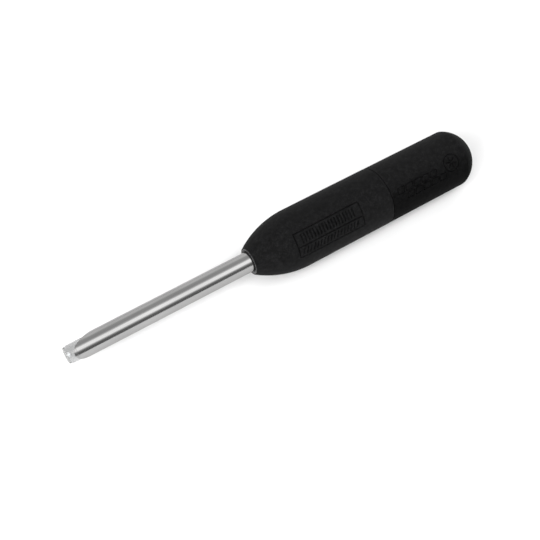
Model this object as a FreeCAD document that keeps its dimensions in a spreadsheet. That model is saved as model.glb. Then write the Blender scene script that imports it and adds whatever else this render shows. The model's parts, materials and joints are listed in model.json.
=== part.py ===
"""Tubular bait punch with a push-out plunger, built as a parametric FreeCAD document.

A stainless cutting tube stands out of a foam front grip. A clear plunger rod runs through the tube and ends
in a foam rear grip, which slides and turns behind the front grip.

Frame: millimetres, the tool's axis along X and level, the cutting point towards -X, the domed butt towards
+X, +Z up. The origin is the middle of the footprint on the surface that the front grip touches.
Each sub-part is drawn from its own front end and placed by its distance behind the handle's mouth.
"""
import FreeCAD, Part
import os

import Sketcher

doc = FreeCAD.newDocument("bait_punch")

# ---------------------------------------------------------------- driving dimensions

DIMENSIONS = (
    # handle, lengths counted from the mouth towards the butt
    ("grip_radius", 15.0),
    ("handle_length", 134.3),
    ("nose_length", 26.8),
    ("mouth_radius", 6.95),
    ("seam_from_mouth", 75.8),
    ("seam_gap", 0.35),
    ("rear_step", 0.05),
    ("seam_fillet", 0.3),
    ("dome_height", 10.6),
    ("dome_fillet", 3.0),
    # cutting tube
    ("tube_radius", 5.0),
    ("tube_bore", 4.35),
    ("point_reach", 94.0),
    ("cut_depth", 20.8),
    ("cut_margin", 4.0),
    ("cut_tilt", 52.0),
    ("taper_length", 2.5),
    ("taper_rise", 0.5),
    ("tube_seat", 17.0),
    ("groove_radius", 4.75),
    # plunger rod
    ("rod_radius", 4.3),
    ("rod_proud", 2.15),
    ("rod_taper_length", 2.0),
    ("rod_taper_rise", 0.5),
    ("rod_hole_radius", 0.9),
    ("rod_hole_depth", 2.2),
    ("neck_radius", 3.0),
    ("rod_seat", 32.0),
    # sleeve in the front grip and what it holds
    ("liner_radius", 7.5),
    ("liner_bore", 6.5),
    ("liner_start", 3.0),
    ("ferrule_radius", 6.5),
    ("ferrule_bore", 5.1),
    ("ferrule_proud", 0.25),
    ("ferrule_round", 0.2),
    ("ferrule_lip", 0.45),
    ("ferrule_dish", 0.9),
    ("bush_start", 5.0),
    ("bush_length", 10.0),
    ("circlip_radius", 6.1),
    ("circlip_width", 0.9),
    ("circlip_opening", 5.0),
    ("flange_length", 1.5),
    ("spigot_length", 5.5),
    ("end_bush_recess", 0.625),
    ("oring_radius", 0.6),
    ("oring_from_flange", 2.2),
    ("collar_start", 17.6),
    ("collar_length", 4.0),
    ("running_gap", 0.08),
    # core of the rear grip
    ("washer_gap", 0.4),
    ("washer_thickness", 1.0),
    ("washer_radius", 7.2),
    ("core_length", 44.0),
    ("core_groove_depth", 0.5),
    ("pin_radius", 1.25),
    ("pin_from_face", 14.0),
)

DERIVED = (
    ("total_length", "=handle_length + point_reach + rod_proud"),
    ("mouth_x", "=point_reach + rod_proud - total_length / 2"),
    ("rear_radius", "=grip_radius - rear_step"),
    ("front_end", "=seam_from_mouth - seam_gap / 2"),
    ("rear_start", "=seam_from_mouth + seam_gap / 2"),
    ("flange_end", "=front_end - end_bush_recess"),
    ("liner_end", "=flange_end - flange_length"),
    ("washer_start", "=flange_end + washer_gap"),
    ("core_start", "=washer_start + washer_thickness"),
    ("oring_centre", "=liner_end - oring_from_flange"),
    ("oring_groove", "=tube_bore + 2 * oring_radius"),
    ("rod_length", "=point_reach + rod_proud + core_start + rod_seat"),
    ("neck_start", "=point_reach + rod_proud + collar_start - running_gap"),
    ("neck_end", "=neck_start + collar_length + 2 * running_gap"),
)


def make_sheet():
    """The spreadsheet that drives every sub-part, with one alias per dimension."""
    book = doc.addObject("Spreadsheet::Sheet", "dims")
    row = 0
    for alias, value in DIMENSIONS + DERIVED:
        row += 1
        book.set("A%d" % row, alias)
        book.set("B%d" % row, str(value))
        book.setAlias("B%d" % row, alias)
    doc.recompute()
    return book


sheet = make_sheet()
nodes = []
ARC_CENTRE = 3


def in_sheet(formula):
    """The formula with each alias written as a reference to the sheet."""
    words = formula.replace("(", "( ").replace(")", " )").split(" ")
    return " ".join("dims." + word if word[:1].isalpha() else word for word in words)


def number(formula):
    """The formula's present value."""
    return float(sheet.evalExpression(formula))


def place(item, behind_mouth, turn=None):
    """Put a sub-part on the tool's axis, its own origin at a distance behind the handle's mouth."""
    item.setExpression("Placement.Base.x", in_sheet("mouth_x + " + behind_mouth))
    item.setExpression("Placement.Base.z", in_sheet("grip_radius"))
    if turn:
        item.Placement = FreeCAD.Placement(item.Placement.Base, FreeCAD.Rotation(FreeCAD.Vector(1, 0, 0), 1))
        item.setExpression("Placement.Rotation.Angle", in_sheet(turn))


def keep(item, label):
    """Name a finished sub-part, so that it is written as a node."""
    item.Label = label
    nodes.append(item)
    return item


def new_body(label):
    body = doc.addObject("PartDesign::Body", label)
    return keep(body, label)


def plane(body, role):
    """One of the body's own origin planes or axes."""
    return next(item for item in body.Origin.OriginFeatures if item.Role == role)


def fix_distance(sketch, edge, end, kind, formula):
    """Hold an edge's end, or an arc's centre, at a distance from one of the sketch's axes."""
    axis = {"DistanceX": -2, "DistanceY": -1}[kind]
    if formula == "0":
        sketch.addConstraint(Sketcher.Constraint("PointOnObject", edge, end, axis))
    else:
        index = sketch.addConstraint(Sketcher.Constraint(kind, -1, 1, edge, end, number(formula)))
        sketch.setExpression("Constraints[%d]" % index, in_sheet(formula))


def fix_point(sketch, edge, end, corner):
    """Hold an edge's end at a corner's two formulas."""
    fix_distance(sketch, edge, end, "DistanceX", corner[0])
    fix_distance(sketch, edge, end, "DistanceY", corner[1])


def outline(body, name, role, corners, arcs=None):
    """A closed sketch through corners given as formulas.

    arcs maps an edge's number to "smooth", an arc that is level where it ends, or "centred", an arc whose
    centre lies on the sketch's horizontal axis. Every other edge is a line.
    """
    arcs = arcs or {}
    sketch = body.newObject("Sketcher::SketchObject", name)
    sketch.AttachmentSupport = [(plane(body, role), "")]
    sketch.MapMode = "FlatFace"
    points = [FreeCAD.Vector(number(x), number(y), 0) for x, y in corners]
    count = len(points)
    starts = []
    ends = []
    for edge in range(count):
        here = points[edge]
        there = points[(edge + 1) % count]
        if edge in arcs:
            sketch.addGeometry(arc_between(here, there, arcs[edge]), False)
        else:
            sketch.addGeometry(Part.LineSegment(here, there), False)
        first_end = 1 if sketch.getPoint(edge, 1).isEqual(here, 1e-6) else 2
        starts.append(first_end)
        ends.append(3 - first_end)
    for edge in range(count):
        following = (edge + 1) % count
        joint = Sketcher.Constraint("Coincident", edge, ends[edge], following, starts[following])
        sketch.addConstraint(joint)
        fix_point(sketch, edge, starts[edge], corners[edge])
    for edge, kind in arcs.items():
        if kind == "centred":
            fix_distance(sketch, edge, ARC_CENTRE, "DistanceY", "0")
        else:
            fix_distance(sketch, edge, ARC_CENTRE, "DistanceX", corners[edge + 1][0])
    return sketch


def arc_between(here, there, kind):
    """A clockwise arc from here to there: centred on the X axis, or level where it ends."""
    if kind == "centred":
        run = there.x - here.x
        centre_x = here.x + (run * run + there.y * there.y - here.y * here.y) / (2 * run)
        centre = FreeCAD.Vector(centre_x, 0, 0)
    else:
        run = there.x - here.x
        rise = there.y - here.y
        radius = (run * run + rise * rise) / (2 * rise)
        centre = FreeCAD.Vector(there.x, there.y - radius, 0)
    spoke = here - centre
    middle = centre + ((here + there) * 0.5 - centre).normalize() * spoke.Length
    return Part.Arc(here, middle, there)


def revolve(body, corners, arcs=None):
    """A solid of revolution about the body's X axis."""
    sketch = outline(body, body.Name + "_profile", "XY_Plane", corners, arcs)
    turned = body.newObject("PartDesign::Revolution", body.Name + "_turned")
    turned.Profile = sketch
    turned.ReferenceAxis = (sketch, ["H_Axis"])
    turned.Angle = 360.0
    doc.recompute()
    return turned


def cut_through(body, sketch, name):
    """A pocket both ways through the body, checked by the volume that it takes away."""
    before = body.Shape.Volume
    pocket = body.newObject("PartDesign::Pocket", name)
    pocket.Profile = sketch
    pocket.Type = "ThroughAll"
    pocket.Midplane = True
    doc.recompute()
    if not body.Shape.Volume < before:
        raise RuntimeError(name + " cuts nothing")
    return pocket


def drill_across(body, name, along, radius):
    """A round hole across the body's axis, through both walls."""
    sketch = body.newObject("Sketcher::SketchObject", name + "_circle")
    sketch.AttachmentSupport = [(plane(body, "XY_Plane"), "")]
    sketch.MapMode = "FlatFace"
    centre = FreeCAD.Vector(number(along), 0, 0)
    sketch.addGeometry(Part.Circle(centre, FreeCAD.Vector(0, 0, 1), number(radius)), False)
    fix_point(sketch, 0, ARC_CENTRE, (along, "0"))
    index = sketch.addConstraint(Sketcher.Constraint("Radius", 0, number(radius)))
    sketch.setExpression("Constraints[%d]" % index, in_sheet(radius))
    return cut_through(body, sketch, name)


def edges_at(feature, along, radius):
    """Names of the circular edges at a distance along the body's axis and with a radius."""
    found = []
    for index, edge in enumerate(feature.Shape.Edges, start=1):
        if edge.Degenerated or not isinstance(edge.Curve, Part.Circle):
            continue
        circle = edge.Curve
        here = abs(circle.Center.x - along) < 0.01 and abs(circle.Radius - radius) < 0.01
        if here and abs(circle.Axis.x) > 0.99:
            found.append("Edge%d" % index)
    if not found:
        raise RuntimeError("no edge of radius %.2f at %.2f on %s" % (radius, along, feature.Name))
    return found


def round_edges(body, name, along, radius, size):
    """A fillet on the circular edges at a place."""
    base = body.Tip
    fillet = body.newObject("PartDesign::Fillet", name)
    fillet.Base = (base, edges_at(base, number(along), number(radius)))
    fillet.setExpression("Radius", in_sheet(size))
    body.Tip = fillet
    doc.recompute()
    return fillet


# ---------------------------------------------------------------- front grip's side


def make_cutting_tube():
    """Thin tube, tapered at its mouth and then cut obliquely, with two circlip grooves."""
    body = new_body("cutting_tube")
    full = "point_reach + tube_seat"
    front_groove = "point_reach + bush_start - circlip_width"
    rear_groove = "point_reach + bush_start + bush_length"
    revolve(body, [
        ("0", "tube_bore"),
        ("0", "tube_radius - taper_rise"),
        ("taper_length", "tube_radius"),
        (front_groove, "tube_radius"),
        (front_groove, "groove_radius"),
        (front_groove + " + circlip_width", "groove_radius"),
        (front_groove + " + circlip_width", "tube_radius"),
        (rear_groove, "tube_radius"),
        (rear_groove, "groove_radius"),
        (rear_groove + " + circlip_width", "groove_radius"),
        (rear_groove + " + circlip_width", "tube_radius"),
        (full, "tube_radius"),
        (full, "tube_bore"),
    ])
    slope = "2 * tube_radius / cut_depth"
    above = "tube_radius + cut_margin * " + slope
    below = "0 - tube_radius - cut_margin * " + slope
    triangle = outline(body, "oblique_cut", "XY_Plane", [
        ("0 - cut_margin", above),
        ("cut_depth + cut_margin", below),
        ("0 - cut_margin", below),
    ])
    cut_through(body, triangle, "oblique_pocket")
    place(body, "0 - point_reach", turn="90 + cut_tilt")
    return body


def make_front_grip():
    """Foam grip with a bullet nose, bored for the ferrule in front and for the liner behind."""
    body = new_body("front_grip")
    revolve(body, [
        ("0", "ferrule_radius"),
        ("0", "mouth_radius"),
        ("nose_length", "grip_radius"),
        ("front_end", "grip_radius"),
        ("front_end", "liner_radius"),
        ("liner_start", "liner_radius"),
        ("liner_start", "ferrule_radius"),
    ], arcs={1: "smooth"})
    round_edges(body, "front_seam_round", "front_end", "grip_radius", "seam_fillet")
    place(body, "0")
    return body


def make_mouth_ferrule():
    """Ring that lines the mouth, stands a little proud of the foam and is dished round the tube."""
    body = new_body("mouth_ferrule")
    full = "ferrule_proud + liner_start"
    revolve(body, [
        ("0", "ferrule_radius - ferrule_lip"),
        ("0", "ferrule_radius"),
        (full, "ferrule_radius"),
        (full, "ferrule_bore"),
        ("ferrule_dish", "ferrule_bore"),
    ])
    round_edges(body, "ferrule_outer_round", "0", "ferrule_radius", "ferrule_round")
    place(body, "0 - ferrule_proud")
    return body


def make_front_liner():
    """Rigid sleeve bonded in the front grip."""
    body = new_body("front_liner")
    full = "liner_end - liner_start"
    revolve(body, [
        ("0", "liner_bore"),
        ("0", "liner_radius"),
        (full, "liner_radius"),
        (full, "liner_bore"),
    ])
    place(body, "liner_start")
    return body


def make_tube_bush():
    """Plastic bush that carries the tube in the liner."""
    body = new_body("tube_bush")
    revolve(body, [
        ("0", "tube_radius"),
        ("0", "liner_bore"),
        ("bush_length", "liner_bore"),
        ("bush_length", "tube_radius"),
    ])
    place(body, "bush_start")
    return body


def make_tube_circlips():
    """Two open rings in the tube's grooves, one at each end of the bush."""
    body = new_body("tube_circlips")
    body.AllowCompound = True
    ring = revolve(body, [
        ("0", "groove_radius"),
        ("0", "circlip_radius"),
        ("circlip_width", "circlip_radius"),
        ("circlip_width", "groove_radius"),
    ])
    gap = outline(body, "circlip_gap", "XY_Plane", [
        ("0 - circlip_width", "0"),
        ("2 * circlip_width", "0"),
        ("2 * circlip_width", "2 * circlip_radius"),
        ("0 - circlip_width", "2 * circlip_radius"),
    ])
    opening = body.newObject("PartDesign::Pocket", "circlip_opening_cut")
    opening.Profile = gap
    opening.Midplane = True
    opening.setExpression("Length", in_sheet("circlip_opening"))
    doc.recompute()
    pair = body.newObject("PartDesign::LinearPattern", "circlip_pair")
    pair.Originals = [ring, opening]
    pair.Direction = (plane(body, "X_Axis"), [""])
    pair.Occurrences = 2
    pair.setExpression("Length", in_sheet("bush_length + circlip_width"))
    body.Tip = pair
    doc.recompute()
    place(body, "bush_start - circlip_width")
    return body


def make_end_bush():
    """Flanged bush that closes the liner and guides the rod, grooved inside for the O-ring."""
    body = new_body("end_bush")
    full = "spigot_length + flange_length"
    groove = "spigot_length - oring_from_flange - oring_radius"
    revolve(body, [
        ("0", "tube_bore"),
        ("0", "liner_bore"),
        ("spigot_length", "liner_bore"),
        ("spigot_length", "liner_radius"),
        (full, "liner_radius"),
        (full, "tube_bore"),
        (groove + " + 2 * oring_radius", "tube_bore"),
        (groove + " + 2 * oring_radius", "oring_groove"),
        (groove, "oring_groove"),
        (groove, "tube_bore"),
    ])
    place(body, "liner_end - spigot_length")
    return body


def make_drag_o_ring():
    """O-ring in the end bush that gives the plunger its light drag."""
    ring = doc.addObject("Part::Torus", "drag_o_ring")
    ring.setExpression("Radius1", in_sheet("tube_bore + oring_radius"))
    ring.setExpression("Radius2", in_sheet("oring_radius"))
    ring.Placement = FreeCAD.Placement(FreeCAD.Vector(0, 0, 0), FreeCAD.Rotation(FreeCAD.Vector(0, 1, 0), 90))
    place(ring, "oring_centre")
    return keep(ring, "drag_o_ring")


# ---------------------------------------------------------------- plunger's side


def make_stop_collar():
    """Horseshoe ring that snaps on the rod's neck and slides in the liner."""
    body = new_body("stop_collar")
    outer = "liner_bore - running_gap"
    inner = "neck_radius + running_gap"
    revolve(body, [
        ("0", inner),
        ("0", outer),
        ("collar_length", outer),
        ("collar_length", inner),
    ])
    slot = outline(body, "collar_slot", "XY_Plane", [
        ("0 - collar_length", "0"),
        ("2 * collar_length", "0"),
        ("2 * collar_length", "2 * liner_bore"),
        ("0 - collar_length", "2 * liner_bore"),
    ])
    before = body.Shape.Volume
    opening = body.newObject("PartDesign::Pocket", "collar_opening")
    opening.Profile = slot
    opening.Midplane = True
    opening.setExpression("Length", in_sheet("2 * neck_radius"))
    doc.recompute()
    if not body.Shape.Volume < before:
        raise RuntimeError("the collar's slot cuts nothing")
    place(body, "collar_start")
    return body


def make_plunger_rod():
    """Clear rod with a tapered end, a centre hole, a neck for the collar and a pin hole."""
    body = new_body("plunger_rod")
    revolve(body, [
        ("0", "rod_hole_radius"),
        ("0", "rod_radius - rod_taper_rise"),
        ("rod_taper_length", "rod_radius"),
        ("neck_start", "rod_radius"),
        ("neck_start", "neck_radius"),
        ("neck_end", "neck_radius"),
        ("neck_end", "rod_radius"),
        ("rod_length", "rod_radius"),
        ("rod_length", "0"),
        ("rod_hole_depth", "0"),
        ("rod_hole_depth - rod_hole_radius / 2", "rod_hole_radius"),
    ])
    drill_across(body, "rod_pin_hole", "rod_length - rod_seat + pin_from_face", "pin_radius")
    place(body, "0 - point_reach - rod_proud")
    return body


def make_rear_core():
    """Rigid core bonded in the rear grip, with a blind bore for the rod and three glue grooves."""
    body = new_body("rear_core")
    corners = [
        ("0", "rod_radius"),
        ("0", "liner_radius"),
    ]
    for share in (1, 2, 3):
        groove = "core_length * %d / 4" % share
        corners += [
            (groove + " - 1", "liner_radius"),
            (groove + " - 1", "liner_radius - core_groove_depth"),
            (groove + " + 1", "liner_radius - core_groove_depth"),
            (groove + " + 1", "liner_radius"),
        ]
    corners += [
        ("core_length", "liner_radius"),
        ("core_length", "0"),
        ("rod_seat", "0"),
        ("rod_seat", "rod_radius"),
    ]
    revolve(body, corners)
    drill_across(body, "core_pin_hole", "pin_from_face", "pin_radius")
    place(body, "core_start")
    return body


def make_core_pin():
    """Cross pin through the core and the rod."""
    pin = doc.addObject("Part::Cylinder", "core_pin")
    pin.setExpression("Radius", in_sheet("pin_radius"))
    pin.setExpression("Height", in_sheet("2 * liner_radius - 0.4"))
    pin.setExpression("Placement.Base.x", in_sheet("mouth_x + core_start + pin_from_face"))
    pin.setExpression("Placement.Base.z", in_sheet("grip_radius - liner_radius + 0.2"))
    return keep(pin, "core_pin")


def make_buffer_washer():
    """Soft washer on the core's face, which meets the end bush when the plunger is pushed in."""
    body = new_body("buffer_washer")
    revolve(body, [
        ("0", "rod_radius"),
        ("0", "washer_radius"),
        ("washer_thickness", "washer_radius"),
        ("washer_thickness", "rod_radius"),
    ])
    place(body, "washer_start")
    return body


def make_rear_grip():
    """Foam grip with a domed end, bored from the front for the core."""
    body = new_body("rear_grip")
    full = "handle_length - rear_start"
    floor = "core_start - rear_start + core_length"
    revolve(body, [
        ("0", "liner_radius"),
        ("0", "rear_radius"),
        (full + " - dome_height", "rear_radius"),
        (full, "0"),
        (floor, "0"),
        (floor, "liner_radius"),
    ], arcs={2: "centred"})
    round_edges(body, "rear_seam_round", "0", "rear_radius", "seam_fillet")
    round_edges(body, "dome_round", full + " - dome_height", "rear_radius", "dome_fillet")
    place(body, "rear_start")
    return body


make_cutting_tube()
make_front_grip()
make_mouth_ferrule()
make_front_liner()
make_tube_bush()
make_tube_circlips()
make_end_bush()
make_drag_o_ring()
make_stop_collar()
make_plunger_rod()
make_rear_core()
make_core_pin()
make_buffer_washer()
make_rear_grip()
doc.recompute()


# ---------------------------------------------------------------- checks and export


def check_document():
    """Stop if any object failed to compute or any sub-part has no valid shape."""
    for item in doc.Objects:
        if "Invalid" in item.State or "Error" in item.State:
            raise RuntimeError("%s is %s" % (item.Name, item.State))
    for item in nodes:
        if item.Shape.isNull() or not item.Shape.isValid():
            raise RuntimeError("%s has no valid shape" % item.Label)


check_document()
os.makedirs("parts", exist_ok=True)
for item in nodes:
    item.Shape.exportStep("parts/%s.step" % item.Label)
    box = item.Shape.BoundBox
    print("%-16s x %8.2f %8.2f  y %7.2f %7.2f  z %6.2f %6.2f  volume %9.1f  solids %d" % (
        item.Label, box.XMin, box.XMax, box.YMin, box.YMax, box.ZMin, box.ZMax,
        item.Shape.Volume, len(item.Shape.Solids)))
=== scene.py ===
"""Looks of the tubular bait punch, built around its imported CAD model.

Metres, in the CAD model's frame. The tool's axis runs along X, the cutting point towards -X.
Angles round the axis are counted from straight up towards -Y, so 90 degrees faces -Y.
"""
import json
import math

import bpy
import numpy as np
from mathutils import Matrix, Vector


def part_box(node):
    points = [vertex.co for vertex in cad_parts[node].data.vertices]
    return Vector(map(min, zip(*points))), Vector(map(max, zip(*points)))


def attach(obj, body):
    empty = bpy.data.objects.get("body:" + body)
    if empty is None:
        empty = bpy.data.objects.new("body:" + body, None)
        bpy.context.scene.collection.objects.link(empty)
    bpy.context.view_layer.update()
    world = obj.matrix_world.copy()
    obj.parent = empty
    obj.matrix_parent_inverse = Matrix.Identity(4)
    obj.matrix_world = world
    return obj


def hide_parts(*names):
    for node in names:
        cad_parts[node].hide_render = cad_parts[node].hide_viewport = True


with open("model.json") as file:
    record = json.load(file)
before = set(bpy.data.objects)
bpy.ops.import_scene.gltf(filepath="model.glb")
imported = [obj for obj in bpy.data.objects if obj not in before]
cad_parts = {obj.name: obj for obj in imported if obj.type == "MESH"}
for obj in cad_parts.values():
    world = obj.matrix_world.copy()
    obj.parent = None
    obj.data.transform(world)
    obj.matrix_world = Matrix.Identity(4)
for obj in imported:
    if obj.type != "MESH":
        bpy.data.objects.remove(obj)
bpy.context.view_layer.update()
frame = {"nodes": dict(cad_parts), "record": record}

MM = 0.001

# ---------------------------------------------------------------- places read from the frame

grip_low, grip_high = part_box("front_grip")
rear_low, rear_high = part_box("rear_grip")
tube_low, tube_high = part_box("cutting_tube")
rod_low, rod_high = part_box("plunger_rod")
ferrule_low, ferrule_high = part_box("mouth_ferrule")
liner_low, liner_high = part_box("front_liner")
core_low, core_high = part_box("rear_core")

MOUTH = grip_low.x
AXIS_Z = (grip_low.z + grip_high.z) / 2
GRIP_R = (grip_high.z - grip_low.z) / 2
REAR_R = (rear_high.z - rear_low.z) / 2
LINER_R = (liner_high.z - liner_low.z) / 2
CORE_R = (core_high.z - core_low.z) / 2
FERRULE_R = (ferrule_high.z - ferrule_low.z) / 2
ROD_R = (rod_high.z - rod_low.z) / 2

# Sizes that the CAD model has and its boxes don't give.
NOSE_LENGTH = 26.8 * MM
MOUTH_R = 6.95 * MM
SEAM_ROUND = 0.18 * MM
DOME_HEIGHT = 10.6 * MM
DOME_ROUND = 3.0 * MM
TUBE_R = 5.0 * MM
TUBE_BORE = 4.35 * MM
CUT_DEPTH = 20.8 * MM
CUT_TILT = math.radians(52)
TAPER_LENGTH = 2.5 * MM
TAPER_RISE = 0.5 * MM
FERRULE_BORE = 5.1 * MM
FERRULE_ROUND = 0.2 * MM
FERRULE_LIP = 0.45 * MM
FERRULE_DISH = 0.9 * MM
ROD_TAPER_LENGTH = 2.0 * MM
ROD_TAPER_RISE = 0.5 * MM
ROD_HOLE_R = 0.9 * MM
ROD_HOLE_DEPTH = 2.2 * MM
NECK_R = 3.0 * MM
NECK_GAP = 0.08 * MM


# ---------------------------------------------------------------- mesh helpers

def new_object(name, verts, faces, smooth=True):
    mesh = bpy.data.meshes.new(name)
    mesh.from_pydata([tuple(v) for v in verts], [], [tuple(f) for f in faces])
    mesh.validate()
    mesh.update()
    item = bpy.data.objects.new(name, mesh)
    bpy.context.scene.collection.objects.link(item)
    mesh.polygons.foreach_set("use_smooth", [smooth] * len(mesh.polygons))
    return item


def lathe(name, angles, rows, closed):
    """A mesh round the tool's axis.

    angles are the columns' angles. rows is a list of (x, r) that runs along the profile, each a
    number or one value per column. closed joins the last row to the first. A row whose r is 0
    becomes one vertex.
    """
    count = len(angles)
    verts = []
    starts = []
    for x, r in rows:
        starts.append(len(verts))
        if np.ndim(r) == 0 and r == 0:
            verts.append((x, 0.0, AXIS_Z))
            continue
        xs = np.broadcast_to(x, count)
        rs = np.broadcast_to(r, count)
        ring = np.stack([xs, -rs * np.sin(angles), AXIS_Z + rs * np.cos(angles)], axis=1)
        verts.extend(ring.tolist())
    faces = []
    pairs = list(zip(range(len(rows)), range(1, len(rows))))
    if closed:
        pairs.append((len(rows) - 1, 0))
    sizes = np.diff(starts + [len(verts)])
    for a, b in pairs:
        for i in range(count):
            j = (i + 1) % count
            if sizes[a] == 1:
                faces.append((starts[a], starts[b] + j, starts[b] + i))
            elif sizes[b] == 1:
                faces.append((starts[a] + i, starts[a] + j, starts[b]))
            else:
                faces.append((starts[a] + i, starts[a] + j, starts[b] + j, starts[b] + i))
    item = new_object(name, verts, faces)
    face_outwards(item)
    return item


def face_outwards(item):
    """Turn the faces of a closed mesh outwards, by the sign of its volume."""
    mesh = item.data
    mesh.calc_loop_triangles()
    co = np.empty(len(mesh.vertices) * 3)
    mesh.vertices.foreach_get("co", co)
    co = co.reshape(-1, 3) - co.reshape(-1, 3).mean(0)
    tris = np.empty(len(mesh.loop_triangles) * 3, np.int64)
    mesh.loop_triangles.foreach_get("vertices", tris)
    a, b, c = (co[tris.reshape(-1, 3)[:, k]] for k in range(3))
    if np.einsum("ij,ij->i", a, np.cross(b, c)).sum() < 0:
        mesh.flip_normals()


def spread(parts):
    """Sorted values, evenly spaced within each (start, stop, step) stretch."""
    values = []
    for start, stop, step in parts:
        steps = max(1, math.ceil((stop - start) / step - 1e-9))
        values.extend(np.linspace(start, stop, steps, endpoint=False))
    return np.array(values)


def arc(centre, radius, start, stop, steps):
    """Points (x, r) of an arc, its angle counted from +X towards growing r, both ends included."""
    return [
        (centre[0] + radius * math.cos(a), centre[1] + radius * math.sin(a))
        for a in np.linspace(start, stop, steps + 1)
    ]


def mark_sharp(item, degrees):
    """Shade edges sharper than an angle as creases."""
    item.data.set_sharp_from_angle(angle=math.radians(degrees))


# ---------------------------------------------------------------- shader helpers

def new_material(name):
    material = bpy.data.materials.new(name)
    material.use_nodes = True
    tree = material.node_tree
    shader = tree.nodes["Principled BSDF"]
    return material, tree, shader


def coordinates(tree, scale):
    """Object coordinates, scaled along each axis."""
    source = tree.nodes.new("ShaderNodeTexCoord")
    mapping = tree.nodes.new("ShaderNodeMapping")
    mapping.inputs["Scale"].default_value = scale
    tree.links.new(source.outputs["Object"], mapping.inputs["Vector"])
    return mapping.outputs["Vector"]


def noise(tree, vector, scale, detail, roughness=0.5):
    node = tree.nodes.new("ShaderNodeTexNoise")
    node.inputs["Scale"].default_value = scale
    node.inputs["Detail"].default_value = detail
    node.inputs["Roughness"].default_value = roughness
    tree.links.new(vector, node.inputs["Vector"])
    return node.outputs["Fac"]


def cells(tree, vector, scale):
    """Distance to the nearest of many scattered points."""
    node = tree.nodes.new("ShaderNodeTexVoronoi")
    node.inputs["Scale"].default_value = scale
    tree.links.new(vector, node.inputs["Vector"])
    return node.outputs["Distance"]


def ramp(tree, value, stops):
    """Colours blended along a value. stops holds (place, colour)."""
    node = tree.nodes.new("ShaderNodeValToRGB")
    elements = node.color_ramp.elements
    while len(elements) < len(stops):
        elements.new(0.5)
    for element, (place, colour) in zip(elements, stops):
        element.position = place
        element.color = (*colour, 1.0)
    tree.links.new(value, node.inputs["Fac"])
    return node.outputs["Color"]


def remap(tree, value, low, high, to_low, to_high):
    node = tree.nodes.new("ShaderNodeMapRange")
    node.inputs["From Min"].default_value = low
    node.inputs["From Max"].default_value = high
    node.inputs["To Min"].default_value = to_low
    node.inputs["To Max"].default_value = to_high
    tree.links.new(value, node.inputs["Value"])
    return node.outputs["Result"]


def bump(tree, height, distance, strength, normal=None):
    node = tree.nodes.new("ShaderNodeBump")
    node.inputs["Distance"].default_value = distance
    node.inputs["Strength"].default_value = strength
    tree.links.new(height, node.inputs["Height"])
    if normal:
        tree.links.new(normal, node.inputs["Normal"])
    return node.outputs["Normal"]


def grey(value):
    return (value, value, value)


# ---------------------------------------------------------------- materials

PER_MM = (1000, 1000, 1000)
FOAM_GLOSS = 0.09
ACRYLIC_IOR = 1.49


def foam_material(name, paint_flank_shade=False):
    """Black closed-cell foam: ground skin with fine open pores and a faint mottle.

    Asked to, it paints shade on the flank that faces -Y: darker and less glossy there.
    """
    material, tree, shader = new_material(name)
    place = coordinates(tree, PER_MM)
    mottle = noise(tree, place, 0.55, 4.0, 0.6)
    grain = noise(tree, place, 1.9, 3.0, 0.6)
    pores = cells(tree, place, 2.6)
    tone = tree.nodes.new("ShaderNodeMix")
    tone.data_type = "FLOAT"
    tone.inputs["Factor"].default_value = 0.62
    tree.links.new(mottle, tone.inputs["A"])
    tree.links.new(grain, tone.inputs["B"])
    colour = ramp(tree, tone.outputs["Result"], [
        (0.34, (0.0012, 0.0012, 0.0013)),
        (0.50, (0.0050, 0.0050, 0.0052)),
        (0.66, (0.0135, 0.0135, 0.0139)),
    ])
    # Painted shade on the -Y flank, used for the rear grip.
    if paint_flank_shade:
        colour = painted_flank_shade(tree, colour, shader)
    tree.links.new(colour, shader.inputs["Base Color"])
    tree.links.new(remap(tree, grain, 0.3, 0.7, 0.62, 0.86), shader.inputs["Roughness"])
    pore_depth = remap(tree, pores, 0.0, 0.28, 0.0, 1.0)
    normal = bump(tree, grain, 0.10 * MM, 0.55)
    normal = bump(tree, pore_depth, 0.05 * MM, 0.5, normal)
    tree.links.new(normal, shader.inputs["Normal"])
    shader.inputs["Specular IOR Level"].default_value = FOAM_GLOSS
    return material


def painted_flank_shade(tree, colour, shader):
    """Painted shade: the colour, darker and less glossy towards the flank that faces -Y."""
    source = tree.nodes.new("ShaderNodeTexCoord")
    split = tree.nodes.new("ShaderNodeSeparateXYZ")
    tree.links.new(source.outputs["Object"], split.inputs["Vector"])
    flank = -0.95 * REAR_R
    top = -0.35 * REAR_R
    # The painted shade's level: 0.45 on the -Y flank, rising to 1 towards the top.
    light = remap(tree, split.outputs["Y"], flank, top, 0.45, 1.0)
    mix = tree.nodes.new("ShaderNodeMix")
    mix.data_type = "RGBA"
    # The painted shade's darkest colour.
    mix.inputs["A"].default_value = (0.0006, 0.0006, 0.0006, 1)
    tree.links.new(light, mix.inputs["Factor"])
    tree.links.new(colour, mix.inputs["B"])
    # Painted shade in the gloss too: less specular on the -Y flank.
    painted_shade_gloss = remap(tree, split.outputs["Y"], flank, top, 0.03, FOAM_GLOSS)
    tree.links.new(painted_shade_gloss, shader.inputs["Specular IOR Level"])
    return mix.outputs["Result"]


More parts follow.
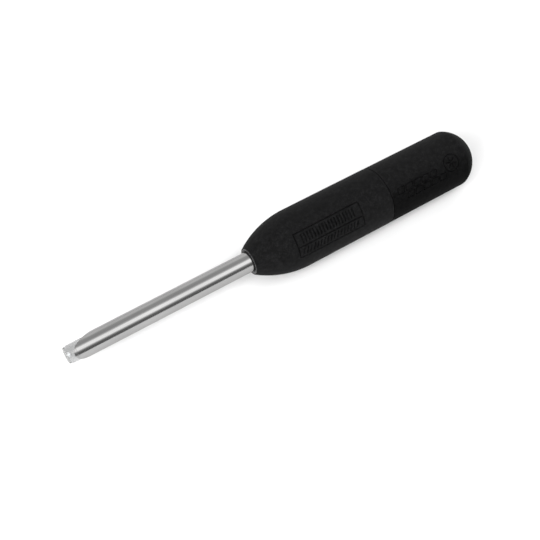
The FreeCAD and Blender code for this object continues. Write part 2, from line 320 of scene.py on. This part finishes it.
def steel_material():
    """Polished stainless with faint draw lines along its length."""
    material, tree, shader = new_material("tube_steel")
    lines = coordinates(tree, (6, 900, 900))
    streaks = noise(tree, lines, 2.2, 4.0, 0.6)
    clouds = noise(tree, coordinates(tree, (60, 200, 200)), 1.0, 2.0)
    tree.links.new(ramp(tree, clouds, [
        (0.30, (0.350, 0.348, 0.346)),
        (0.70, (0.385, 0.383, 0.381)),
    ]), shader.inputs["Base Color"])
    tree.links.new(remap(tree, streaks, 0.3, 0.7, 0.11, 0.17), shader.inputs["Roughness"])
    tree.links.new(bump(tree, streaks, 0.004 * MM, 0.25), shader.inputs["Normal"])
    shader.inputs["Metallic"].default_value = 1.0
    shader.inputs["Specular Tint"].default_value = (0.62, 0.62, 0.62, 1)
    return material


def bevel_material():
    """The ground edge of the cut: the tube's steel with fine grinding marks across it."""
    material, tree, shader = new_material("ground_steel")
    marks = noise(tree, coordinates(tree, (3000, 700, 700)), 1.4, 3.0, 0.7)
    tree.links.new(ramp(tree, marks, [
        (0.30, (0.30, 0.298, 0.296)),
        (0.70, (0.38, 0.378, 0.375)),
    ]), shader.inputs["Base Color"])
    tree.links.new(remap(tree, marks, 0.3, 0.7, 0.18, 0.30), shader.inputs["Roughness"])
    tree.links.new(bump(tree, marks, 0.01 * MM, 0.3), shader.inputs["Normal"])
    shader.inputs["Metallic"].default_value = 1.0
    return material


def clear_material():
    """Clear acrylic with light handling marks in its polish."""
    material, tree, shader = new_material("clear_rod")
    haze = noise(tree, coordinates(tree, (400, 900, 900)), 1.2, 3.0)
    tree.links.new(ramp(tree, haze, [
        (0.35, (0.40, 0.403, 0.403)),
        (0.65, (0.47, 0.473, 0.473)),
    ]), shader.inputs["Base Color"])
    tree.links.new(remap(tree, haze, 0.3, 0.7, 0.03, 0.10), shader.inputs["Roughness"])
    shader.inputs["Transmission Weight"].default_value = 1.0
    shader.inputs["IOR"].default_value = ACRYLIC_IOR
    return material


def frosted_glow_material():
    """The rod's acrylic where it is cut: rough and whitish, with a painted glow from its emission
    where the rod would pipe light to it.
    """
    material, tree, shader = new_material("cut_acrylic_painted_glow")
    marks = noise(tree, coordinates(tree, (1500, 1500, 1500)), 1.3, 3.0)
    tree.links.new(ramp(tree, marks, [
        (0.3, (0.86, 0.865, 0.865)),
        (0.7, (0.94, 0.945, 0.945)),
    ]), shader.inputs["Base Color"])
    tree.links.new(remap(tree, marks, 0.3, 0.7, 0.45, 0.65), shader.inputs["Roughness"])
    shader.inputs["Transmission Weight"].default_value = 0.2
    # Painted glow: the emission makes the cut acrylic shine, though it is no lamp.
    shader.inputs["Emission Color"].default_value = (0.95, 0.98, 1.0, 1)
    shader.inputs["Emission Strength"].default_value = 0.65
    shader.inputs["IOR"].default_value = ACRYLIC_IOR
    return material


def plastic_material(name, dark, light, roughness, lines=(600, 600, 600)):
    """Moulded or turned plastic with a fine uneven surface."""
    material, tree, shader = new_material(name)
    surface = noise(tree, coordinates(tree, lines), 1.3, 4.0)
    tree.links.new(ramp(tree, surface, [(0.3, dark), (0.7, light)]), shader.inputs["Base Color"])
    uneven = 0.06
    finish = remap(tree, surface, 0.3, 0.7, roughness - uneven, roughness + uneven)
    tree.links.new(finish, shader.inputs["Roughness"])
    tree.links.new(bump(tree, surface, 0.02 * MM, 0.35), shader.inputs["Normal"])
    return material


def spring_steel_material():
    """Plain steel with an uneven rolled surface."""
    material, tree, shader = new_material("spring_steel")
    marks = noise(tree, coordinates(tree, (900, 900, 900)), 1.0, 4.0)
    tree.links.new(ramp(tree, marks, [
        (0.3, (0.33, 0.33, 0.34)),
        (0.7, (0.48, 0.48, 0.49)),
    ]), shader.inputs["Base Color"])
    tree.links.new(remap(tree, marks, 0.3, 0.7, 0.28, 0.42), shader.inputs["Roughness"])
    shader.inputs["Metallic"].default_value = 1.0
    return material


MATERIALS = {
    "grip_foam": foam_material("grip_foam"),
    "tube_steel": steel_material(),
    "clear_rod": clear_material(),
    "ferrule_grey": plastic_material(
        "ferrule_grey", (0.024, 0.0245, 0.025), (0.036, 0.0365, 0.037), 0.28),
    "natural_plastic": plastic_material(
        "natural_plastic", (0.66, 0.65, 0.61), (0.74, 0.73, 0.69), 0.42, lines=(1800, 500, 500)),
    "liner_plastic": plastic_material(
        "liner_plastic", (0.030, 0.030, 0.032), (0.045, 0.045, 0.048), 0.45),
    "seal_rubber": plastic_material(
        "seal_rubber", (0.010, 0.010, 0.010), (0.018, 0.018, 0.018), 0.62),
    "spring_steel": spring_steel_material(),
}
GROUND_STEEL = bevel_material()
# The cut acrylic, with its painted glow.
FROSTED_PAINTED_GLOW = frosted_glow_material()
# The rear grip's foam, with painted shade on its -Y flank that turns with the piece.
REAR_FOAM_PAINTED_SHADE = foam_material("rear_foam_painted_shade", paint_flank_shade=True)


def dress_cad_nodes():
    """Give each CAD node the procedural material of its slot."""
    for part in frame["record"]["subparts"]:
        node = frame["nodes"][part["node"]]
        node.data.materials.clear()
        node.data.materials.append(MATERIALS[part["material_slot"]])


def finish_piece(item, body, node, slot):
    """Dress a piece that stands for a CAD node, and name its body, that node and its slot."""
    if not item.data.materials:
        item.data.materials.append(MATERIALS[slot])
    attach(item, body)
    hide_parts(node)


# ---------------------------------------------------------------- debossed patterns

LINE_HALF = 0.27 * MM
LINE_SOFT = 0.12 * MM
DEBOSS = 0.80 * MM
REAR_DEBOSS = 0.62 * MM


def groove(distance, half=LINE_HALF):
    """1 inside a line, 0 outside, with a soft edge, from the distance to the line's middle."""
    t = np.clip((half + LINE_SOFT - distance) / (2 * LINE_SOFT), 0, 1)
    return t * t * (3 - 2 * t)


def segment_distance(x, y, a, b):
    """Distance from points to a straight segment."""
    run = np.array(b) - np.array(a)
    t = np.clip(((x - a[0]) * run[0] + (y - a[1]) * run[1]) / (run @ run), 0, 1)
    return np.hypot(x - a[0] - t * run[0], y - a[1] - t * run[1])


def box_distance(x, y, low, high, corner=0.0):
    """Distance to the outline of a rectangle whose corners may be rounded."""
    mid = (np.array(low) + np.array(high)) / 2
    half = (np.array(high) - np.array(low)) / 2 - corner
    dx = np.abs(x - mid[0]) - half[0]
    dy = np.abs(y - mid[1]) - half[1]
    outside = np.hypot(np.maximum(dx, 0), np.maximum(dy, 0))
    inside = np.minimum(np.maximum(dx, dy), 0)
    return np.abs(outside + inside - corner)


PANEL_X = (20.0 * MM, 57.6 * MM)
PANEL_ANGLE = (math.radians(28.5), math.radians(76.5))
PANEL_SPLIT = math.radians(56.0)


def front_pattern(x, angle):
    """Depth of the front panel, from 0 to 1.

    A plain frame in two bands, upright bars above and slanted bars below. x is counted from the
    handle's mouth.
    """
    y = angle * GRIP_R
    left, right = PANEL_X
    low, high = (a * GRIP_R for a in PANEL_ANGLE)
    split = PANEL_SPLIT * GRIP_R
    depth = groove(box_distance(x, y, (left, low), (right, high)))
    depth = np.maximum(depth, groove(segment_distance(x, y, (left, split), (right, split))))
    margin = 1.3 * MM
    bar_pitch = 1.75 * MM
    bar_half = 0.38 * MM
    bar_low = low + margin + bar_half
    bar_high = split - margin - bar_half
    for step in range(18):
        place = left + 3.4 * MM + step * bar_pitch
        bar = segment_distance(x, y, (place, bar_low), (place, bar_high))
        depth = np.maximum(depth, groove(bar, bar_half))
    slant = 1.2 * MM
    slant_pitch = 1.95 * MM
    slant_half = 0.30 * MM
    for step in range(17):
        place = left + 1.9 * MM + step * slant_pitch
        bar = segment_distance(x, y, (place + slant, split + margin), (place, high - margin))
        depth = np.maximum(depth, groove(bar, slant_half))
    return depth


# The rear mark's two staggered rows: start and end behind the mouth, then the edges' angles.
MARK_ROWS = (
    (80.0 * MM, 105.5 * MM, math.radians(41), math.radians(53)),
    (85.0 * MM, 110.5 * MM, math.radians(56), math.radians(68)),
)
RING_AT = (114.4 * MM, math.radians(44))
RING_R = 4.4 * MM


def rear_pattern(x, angle):
    """Depth of the rear mark, from 0 to 1: two rows of outlined lozenges, and a ring with a star."""
    y = angle * REAR_R
    line = 0.15 * MM
    depth = np.zeros_like(x)
    count = 5
    gap = 0.9 * MM
    lean = 0.25
    corner = 0.8 * MM
    for start, end, low, high in MARK_ROWS:
        pitch = (end - start) / count
        slanted = x + lean * (y - (low + high) / 2 * REAR_R)
        for step in range(count):
            left = start + step * pitch
            right = left + pitch - gap
            box = box_distance(slanted, y, (left, low * REAR_R), (right, high * REAR_R), corner)
            depth = np.maximum(depth, groove(box, line))
    centre = np.array((RING_AT[0], RING_AT[1] * REAR_R))
    radial = np.hypot(x - centre[0], y - centre[1])
    depth = np.maximum(depth, groove(np.abs(radial - RING_R), line))
    arm_length = 2.9 * MM
    arm_half = 0.22 * MM
    for step in range(3):
        turn = math.pi * step / 3 + 0.3
        arm = np.array((math.cos(turn), math.sin(turn))) * arm_length
        spoke = segment_distance(x, y, centre - arm, centre + arm)
        depth = np.maximum(depth, groove(spoke, arm_half))
    return depth


# ---------------------------------------------------------------- pieces

# Mesh steps along the axis: FINE where a pattern is, COARSE elsewhere.
FINE = 0.145 * MM
COARSE = 0.6 * MM
COLUMN_DEGREES = 2.4
PATTERN_EDGE = 1.2 * MM
FOAM_GAP = 0.01 * MM
SEAT_GAP = 0.1 * MM
LIP_ROUND = 0.2 * MM
FULL_TURN = 2 * math.pi


def wrapped(angles):
    """Angles brought between -pi and pi."""
    return (np.asarray(angles) + math.pi) % FULL_TURN - math.pi


def column_angles(low, high, radius):
    """Columns round the axis: fine between two angles, coarse elsewhere."""
    pad = math.radians(2.5)
    return spread([
        (low - pad, high + pad, FINE / radius),
        (high + pad, low - pad + FULL_TURN, math.radians(COLUMN_DEGREES)),
    ])


def nose_radius(x):
    """The front grip's radius behind the mouth: an arc that ends level, then a cylinder."""
    rise = GRIP_R - MOUTH_R
    arc_r = (NOSE_LENGTH ** 2 + rise ** 2) / (2 * rise)
    left = max(NOSE_LENGTH - x, 0)
    return GRIP_R - arc_r + math.sqrt(arc_r ** 2 - left ** 2)


def make_front_grip():
    """Bullet nose, straight grip with the debossed panel, rounded rear edge and the bore behind."""
    angles = column_angles(*PANEL_ANGLE, GRIP_R)
    mouth_bore = FERRULE_R + FOAM_GAP
    liner_seat = LINER_R + FOAM_GAP
    seat_x = liner_low.x - SEAT_GAP
    rows = [(seat_x, mouth_bore)]
    rows += [
        (MOUTH + LIP_ROUND * (1 - math.sin(a)), mouth_bore + LIP_ROUND * (1 - math.cos(a)))
        for a in np.linspace(0, math.pi / 2, 5)
    ]
    lip_x = MOUTH + LIP_ROUND
    lip_r = nose_radius(LIP_ROUND)
    rows += [
        (lip_x - LIP_ROUND * math.cos(a), lip_r - LIP_ROUND * (1 - math.sin(a)))
        for a in np.linspace(0.15, math.pi / 2, 5)
    ]
    end = grip_high.x - SEAM_ROUND
    nose_end = 2.0 * MM
    pattern_start = PANEL_X[0] - PATTERN_EDGE
    pattern_end = PANEL_X[1] + PATTERN_EDGE
    stretches = spread([
        (LIP_ROUND + 0.2 * MM, nose_end, 0.25 * MM),
        (nose_end, pattern_start, COARSE),
        (pattern_start, pattern_end, FINE),
        (pattern_end, end - MOUTH, 1.5 * COARSE),
    ])
    for x in stretches:
        r = nose_radius(x)
        if pattern_start < x < pattern_end:
            r = r - DEBOSS * front_pattern(np.full(len(angles), x), wrapped(angles))
        rows.append((MOUTH + x, r))
    rows += arc((end, GRIP_R - SEAM_ROUND), SEAM_ROUND, math.pi / 2, 0, 5)
    rows += [(grip_high.x, r) for r in np.linspace(GRIP_R - 2 * SEAM_ROUND, liner_seat, 7)]
    rows.append((seat_x, liner_seat))
    item = lathe("front_grip_foam", angles, rows, closed=True)
    mark_sharp(item, 50)
    finish_piece(item, "barrel", "front_grip", "grip_foam")


def make_rear_grip():
    """Straight grip with the debossed mark, domed end and the core's bore."""
    low = math.radians(25)
    high = math.radians(72)
    angles = column_angles(low, high, REAR_R)
    start = rear_low.x + SEAM_ROUND
    butt = rear_high.x
    rim = butt - DOME_HEIGHT
    dome_r = (DOME_HEIGHT ** 2 + REAR_R ** 2) / (2 * DOME_HEIGHT)
    corner = math.asin((dome_r - DOME_HEIGHT) / dome_r)
    bore_r = CORE_R + FOAM_GAP
    rows = [(core_high.x + FOAM_GAP, 0.0), (core_high.x + FOAM_GAP, bore_r)]
    rows += [(rear_low.x, r) for r in np.linspace(bore_r, REAR_R - 2 * SEAM_ROUND, 7)]
    rows += arc((start, REAR_R - SEAM_ROUND), SEAM_ROUND, math.pi, math.pi / 2, 5)
    trim = DOME_ROUND * math.tan(corner / 2)
    pattern_start = MARK_ROWS[0][0] - 1.0 * MM
    pattern_end = RING_AT[0] + 5.0 * MM
    straight_end = rim - trim - MOUTH
    straight = spread([
        (start - MOUTH + 0.3 * MM, pattern_start, COARSE),
        (pattern_start, min(pattern_end, straight_end), FINE),
        (min(pattern_end, straight_end), straight_end, COARSE),
    ])
    for x in straight:
        r = REAR_R - REAR_DEBOSS * rear_pattern(np.full(len(angles), x), wrapped(angles))
        rows.append((MOUTH + x, r))
    round_centre = (rim - trim, REAR_R - DOME_ROUND)
    rows += arc(round_centre, DOME_ROUND, math.pi / 2, math.pi / 2 - corner, 6)
    dome_centre = butt - dome_r
    first = math.acos((rim - dome_centre) / dome_r) - trim / dome_r
    for a in np.linspace(first, 0, 46)[1:-1]:
        x = dome_centre + dome_r * math.cos(a)
        r = np.full(len(angles), dome_r * math.sin(a))
        if x - MOUTH < pattern_end:
            r = r - REAR_DEBOSS * rear_pattern(np.full(len(angles), x - MOUTH), wrapped(angles))
        rows.append((x, r))
    rows.append((butt, 0.0))
    item = lathe("rear_grip_foam", angles, rows, closed=False)
    # Foam with painted shade on its -Y flank.
    item.data.materials.append(REAR_FOAM_PAINTED_SHADE)
    mark_sharp(item, 50)
    finish_piece(item, "plunger", "rear_grip", "grip_foam")


def make_tube():
    """Tube wall with its tapered mouth and the oblique cut that leaves the taper at the point."""
    angles = np.linspace(0, FULL_TURN, 288, endpoint=False) + CUT_TILT
    across = np.cos(angles - CUT_TILT)
    slope = CUT_DEPTH / (2 * TUBE_R)
    taper = TAPER_RISE / TAPER_LENGTH
    # Radius of the cut's outer edge, where the cut meets the taper or the wall.
    edge_r = (TUBE_R * (1 + taper * slope) - TAPER_RISE) / (1 + taper * slope * across)
    edge_r = np.minimum(edge_r, TUBE_R)
    edge_x = (TUBE_R - edge_r * across) * slope
    bore_x = (TUBE_R - TUBE_BORE * across) * slope
    start = tube_low.x - edge_x.min()
    wall_x = np.maximum(edge_x, TAPER_LENGTH)
    far = tube_high.x
    rows = [(start + bore_x, TUBE_BORE)]
    for share in (0.0, 0.33, 0.67, 1.0):
        x = start + edge_x + (wall_x - edge_x) * share
        rows.append((x, edge_r + (TUBE_R - edge_r) * share))
    for share in np.linspace(0, 1, 31)[1:]:
        rows.append(((start + wall_x) * (1 - share) + far * share, TUBE_R))
    for share in np.linspace(0, 1, 26)[:-1]:
        rows.append((far * (1 - share) + (start + bore_x) * share, TUBE_BORE))
    item = lathe("polished_tube", angles, rows, closed=True)
    item.data.materials.append(MATERIALS["tube_steel"])
    item.data.materials.append(GROUND_STEEL)
    mark_bevel(item)
    mark_sharp(item, 9)
    finish_piece(item, "barrel", "cutting_tube", "tube_steel")


def mark_bevel(item):
    """Give the faces between the bore and the outer wall, near the point, the ground steel."""
    slack = 0.02 * MM
    far = tube_low.x + CUT_DEPTH + 5 * MM
    for face in item.data.polygons:
        radius = math.hypot(face.center.y, face.center.z - AXIS_Z)
        on_edge = TUBE_BORE + slack < radius < TUBE_R - slack
        face.material_index = 1 if on_edge and face.center.x < far else 0


def make_rod():
    """Clear rod with a tapered end, the ground centre hole and the collar's neck."""
    angles = np.linspace(0, FULL_TURN, 160, endpoint=False)
    low = rod_low.x
    collar_low, collar_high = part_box("stop_collar")
    neck_low = collar_low.x - NECK_GAP
    neck_high = collar_high.x + NECK_GAP
    soft = 0.06 * MM
    end_r = ROD_R - ROD_TAPER_RISE
    rows = [
        (low + ROD_HOLE_DEPTH, 0.0),
        (low + ROD_HOLE_DEPTH - ROD_HOLE_R / 2, ROD_HOLE_R * 0.86),
        (low + ROD_HOLE_DEPTH / 2, ROD_HOLE_R * 0.93),
        (low + soft, ROD_HOLE_R),
        (low, ROD_HOLE_R + soft),
    ]
    rows += [(low, r) for r in np.linspace(ROD_HOLE_R + 0.3 * MM, end_r - soft, 8)]
    rows += [
        (low + soft * 0.3, end_r - soft * 0.3),
        (low + soft, end_r + soft * 0.25),
        (low + ROD_TAPER_LENGTH, ROD_R),
    ]
    rows += [(x, ROD_R) for x in np.linspace(low + 1.5 * ROD_TAPER_LENGTH, neck_low, 60)]
    rows += [(neck_low, NECK_R), (neck_high, NECK_R), (neck_high, ROD_R)]
    rows += [(x, ROD_R) for x in np.linspace(neck_high, rod_high.x, 30)[1:]]
    rows.append((rod_high.x, 0.0))
    item = lathe("clear_plunger_rod", angles, rows, closed=False)
    item.data.materials.append(MATERIALS["clear_rod"])
    # The hole's cut acrylic, which glows with painted light.
    item.data.materials.append(FROSTED_PAINTED_GLOW)
    mark_hole(item)
    mark_sharp(item, 8)
    finish_piece(item, "plunger", "plunger_rod", "clear_rod")


def mark_hole(item):
    """Give the inner half of the centre hole the cut acrylic, with its painted glow."""
    first = rod_low.x + ROD_HOLE_DEPTH / 2
    last = rod_low.x + 1.1 * ROD_HOLE_DEPTH
    for face in item.data.polygons:
        radius = math.hypot(face.center.y, face.center.z - AXIS_Z)
        in_hole = radius < ROD_HOLE_R + 0.01 * MM
        face.material_index = 1 if in_hole and first < face.center.x < last else 0


def make_ferrule():
    """Ring that lines the mouth, rounded outside and dished round the tube."""
    angles = np.linspace(0, FULL_TURN, 192, endpoint=False)
    low = ferrule_low.x
    high = ferrule_high.x
    round_x = low + FERRULE_ROUND
    round_r = FERRULE_R - FERRULE_ROUND
    lip_r = FERRULE_R - FERRULE_LIP
    rows = [(x, FERRULE_R) for x in np.linspace(high, round_x, 6)]
    rows += arc((round_x, round_r), FERRULE_ROUND, math.pi / 2, math.pi, 6)[1:]
    rows += [
        (low + FERRULE_DISH * share, lip_r + (FERRULE_BORE - lip_r) * share)
        for share in np.linspace(0, 1, 5)
    ]
    rows += [(x, FERRULE_BORE) for x in np.linspace(low + FERRULE_DISH, high, 6)[1:]]
    item = lathe("mouth_ring", angles, rows, closed=True)
    mark_sharp(item, 60)
    finish_piece(item, "barrel", "mouth_ferrule", "ferrule_grey")


# ---------------------------------------------------------------- stage, lights and camera

FLOOR_HALF = 15.0


def make_floor():
    """Plain pale floor."""
    side = FLOOR_HALF
    corners = [(-side, -side, 0), (side, -side, 0), (side, side, 0), (-side, side, 0)]
    floor = new_object("floor", corners, [(0, 1, 2, 3)], smooth=False)
    material, tree, shader = new_material("floor_white")
    paper = noise(tree, coordinates(tree, (40, 40, 40)), 1.0, 3.0)
    white = ramp(tree, paper, [(0.3, grey(0.86)), (0.7, grey(0.88))])
    tree.links.new(white, shader.inputs["Base Color"])
    shader.inputs["Roughness"].default_value = 0.9
    shader.inputs["Specular IOR Level"].default_value = 0.1
    floor.data.materials.append(material)


# Studio brightness by the angle round X, counted in degrees from straight up towards -Y.
STUDIO_PEAK = 2.17
STUDIO = (
    (-180, 0.50),
    (-92, 0.50),
    (-52, 0.50),
    (-34, 0.30),
    (-6, 0.27),
    (8, 0.45),
    (16, 0.95),
    (42, 0.95),
    (50, 0.45),
    (62, 0.12),
    (84, 0.10),
    (98, 0.35),
    (180, 0.40),
)


def make_world():
    """Studio surroundings: white sweep behind, dim ceiling, soft panel above the front, dark front."""
    world = bpy.data.worlds.new("studio")
    bpy.context.scene.world = world
    world.use_nodes = True
    tree = world.node_tree
    source = tree.nodes.new("ShaderNodeTexCoord")
    split = tree.nodes.new("ShaderNodeSeparateXYZ")
    tree.links.new(source.outputs["Generated"], split.inputs["Vector"])
    front = tree.nodes.new("ShaderNodeMath")
    front.operation = "MULTIPLY"
    front.inputs[1].default_value = -1.0
    tree.links.new(split.outputs["Y"], front.inputs[0])
    turn = tree.nodes.new("ShaderNodeMath")
    turn.operation = "ARCTAN2"
    tree.links.new(front.outputs["Value"], turn.inputs[0])
    tree.links.new(split.outputs["Z"], turn.inputs[1])
    share = remap(tree, turn.outputs["Value"], -math.pi, math.pi, 0.0, 1.0)
    stops = [((degrees + 180) / 360, grey(value)) for degrees, value in STUDIO]
    colour = ramp(tree, share, stops)
    background = tree.nodes["Background"]
    background.inputs["Strength"].default_value = STUDIO_PEAK
    tree.links.new(colour, background.inputs["Color"])


SIDE_FILL_AT = Vector((-1.13, -0.58, 0.80))


def add_side_fill():
    """A square soft light beyond the point, kept out of reflections, that looks at the tool."""
    data = bpy.data.lights.new("side_fill", "AREA")
    data.shape = "SQUARE"
    data.size = 0.7
    data.energy = 20.0
    lamp = bpy.data.objects.new("side_fill", data)
    lamp.location = SIDE_FILL_AT
    lamp.rotation_euler = (-SIDE_FILL_AT).to_track_quat("-Z", "Y").to_euler()
    lamp.visible_glossy = False
    bpy.context.scene.collection.objects.link(lamp)


CAMERA_AZIMUTH = math.radians(-33.97)
CAMERA_ELEVATION = math.radians(51.07)
CAMERA_DISTANCE = 0.45873
CAMERA_AIM = Vector((MOUTH + 0.005203, -0.009873, AXIS_Z + 0.000092))


def make_camera():
    """Camera on the front left, looking down along the tool from its point."""
    back = Vector((
        math.sin(CAMERA_AZIMUTH) * math.cos(CAMERA_ELEVATION),
        -math.cos(CAMERA_AZIMUTH) * math.cos(CAMERA_ELEVATION),
        math.sin(CAMERA_ELEVATION),
    ))
    data = bpy.data.cameras.new("camera")
    data.lens = 65.0
    data.sensor_width = 36.0
    data.clip_start = 0.01
    camera = bpy.data.objects.new("camera", data)
    camera.location = CAMERA_AIM + back * CAMERA_DISTANCE
    camera.rotation_euler = (-back).to_track_quat("-Z", "Y").to_euler()
    bpy.context.scene.collection.objects.link(camera)
    bpy.context.scene.camera = camera


bpy.context.scene.view_settings.view_transform = "Standard"
make_camera()
make_world()
make_floor()
add_side_fill()
dress_cad_nodes()
make_front_grip()
make_rear_grip()
make_tube()
make_rod()
make_ferrule()
